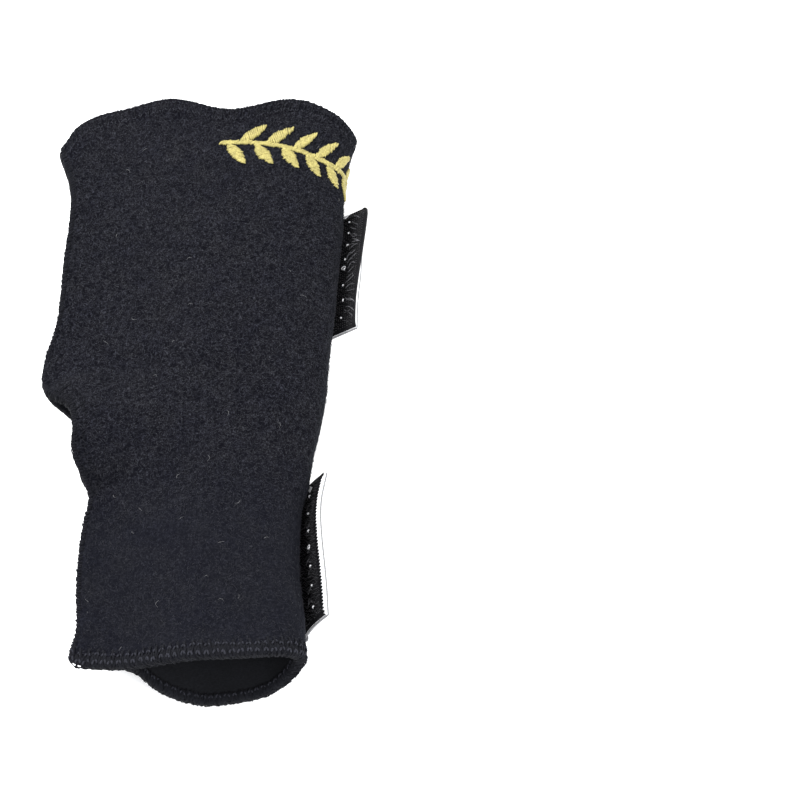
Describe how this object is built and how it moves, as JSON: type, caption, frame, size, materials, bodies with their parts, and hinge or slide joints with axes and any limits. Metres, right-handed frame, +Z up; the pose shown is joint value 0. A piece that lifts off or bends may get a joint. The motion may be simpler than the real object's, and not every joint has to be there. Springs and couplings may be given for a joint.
{
  "type": "wrist guard",
  "caption": "Soft laminated wrist guard with a side seam, a thumb hole, overlocked edges and two wide hook-and-loop straps folded flat under its back.",
  "frame": {"origin": "middle of the guard's outline on the table it lies on, back down", "axes": "+Y from the wrist end to the hand end, +X to the folded side away from the thumb, +Z up out of the palm side"},
  "size_m": [0.0949, 0.1905, 0.0261],
  "materials": {
    "looped_fabric": "fuzzy looped pile, near black",
    "neoprene_foam": "closed-cell foam, matte black",
    "smooth_lining": "smooth knit, near black",
    "black_thread": "spun overlock thread, black",
    "yellow_thread": "satin-stitched embroidery thread, yellow",
    "grey_skin": "thin smooth woven skin, dark grey",
    "white_foam": "soft white foam, cut edge shows",
    "hook_tape": "hook tape, black, slightly glossy",
    "grey_thread": "zigzag sewing thread, silver grey"
  },
  "bodies": {
    "sleeve": {"outer_fabric": "looped_fabric", "foam_core": "neoprene_foam", "lining": "smooth_lining", "wrist_hem": "black_thread", "hand_hem": "black_thread", "front_thumb_hem": "black_thread", "back_thumb_hem": "black_thread", "lower_seam": "black_thread", "upper_seam": "black_thread", "leaf_sprig": "yellow_thread", "upper_tab_face": "grey_skin", "upper_tab_core": "white_foam", "upper_tab_tape": "hook_tape", "upper_tab_stitching": "grey_thread", "lower_tab_face": "grey_skin", "lower_tab_core": "white_foam", "lower_tab_tape": "hook_tape", "lower_tab_stitching": "grey_thread"},
    "upper_strap": {"upper_strap_face": "grey_skin", "upper_strap_core": "white_foam", "upper_strap_backing": "looped_fabric"},
    "upper_strap_tip": {"upper_tip_face": "grey_skin", "upper_tip_core": "white_foam", "upper_tip_hook_tape": "hook_tape"},
    "lower_strap": {"lower_strap_face": "grey_skin", "lower_strap_core": "white_foam", "lower_strap_backing": "looped_fabric"},
    "lower_strap_tip": {"lower_tip_face": "grey_skin", "lower_tip_core": "white_foam", "lower_tip_hook_tape": "hook_tape"}
  },
  "joints": [
    {"name": "upper_strap_fold", "type": "hinge", "parent": "sleeve", "child": "upper_strap", "pos_m": [0.0352, 0.0395, 0.001], "axis": [-0.0698, -0.9976, 0], "range_deg": [0, 179.5]},
    {"name": "upper_tip_fold", "type": "hinge", "parent": "upper_strap", "child": "upper_strap_tip", "pos_m": [-0.01268, 0.04285, 0.001], "axis": [-0.0698, -0.9976, 0], "range_deg": [0, 60]},
    {"name": "lower_strap_fold", "type": "hinge", "parent": "sleeve", "child": "lower_strap", "pos_m": [0.03, -0.0545, 0.001], "axis": [0.0349, -0.9994, 0], "range_deg": [0, 179.5]},
    {"name": "lower_tip_fold", "type": "hinge", "parent": "lower_strap", "child": "lower_strap_tip", "pos_m": [-0.00098, -0.05558, 0.001], "axis": [0.0349, -0.9994, 0], "range_deg": [0, 60]}
  ]
}
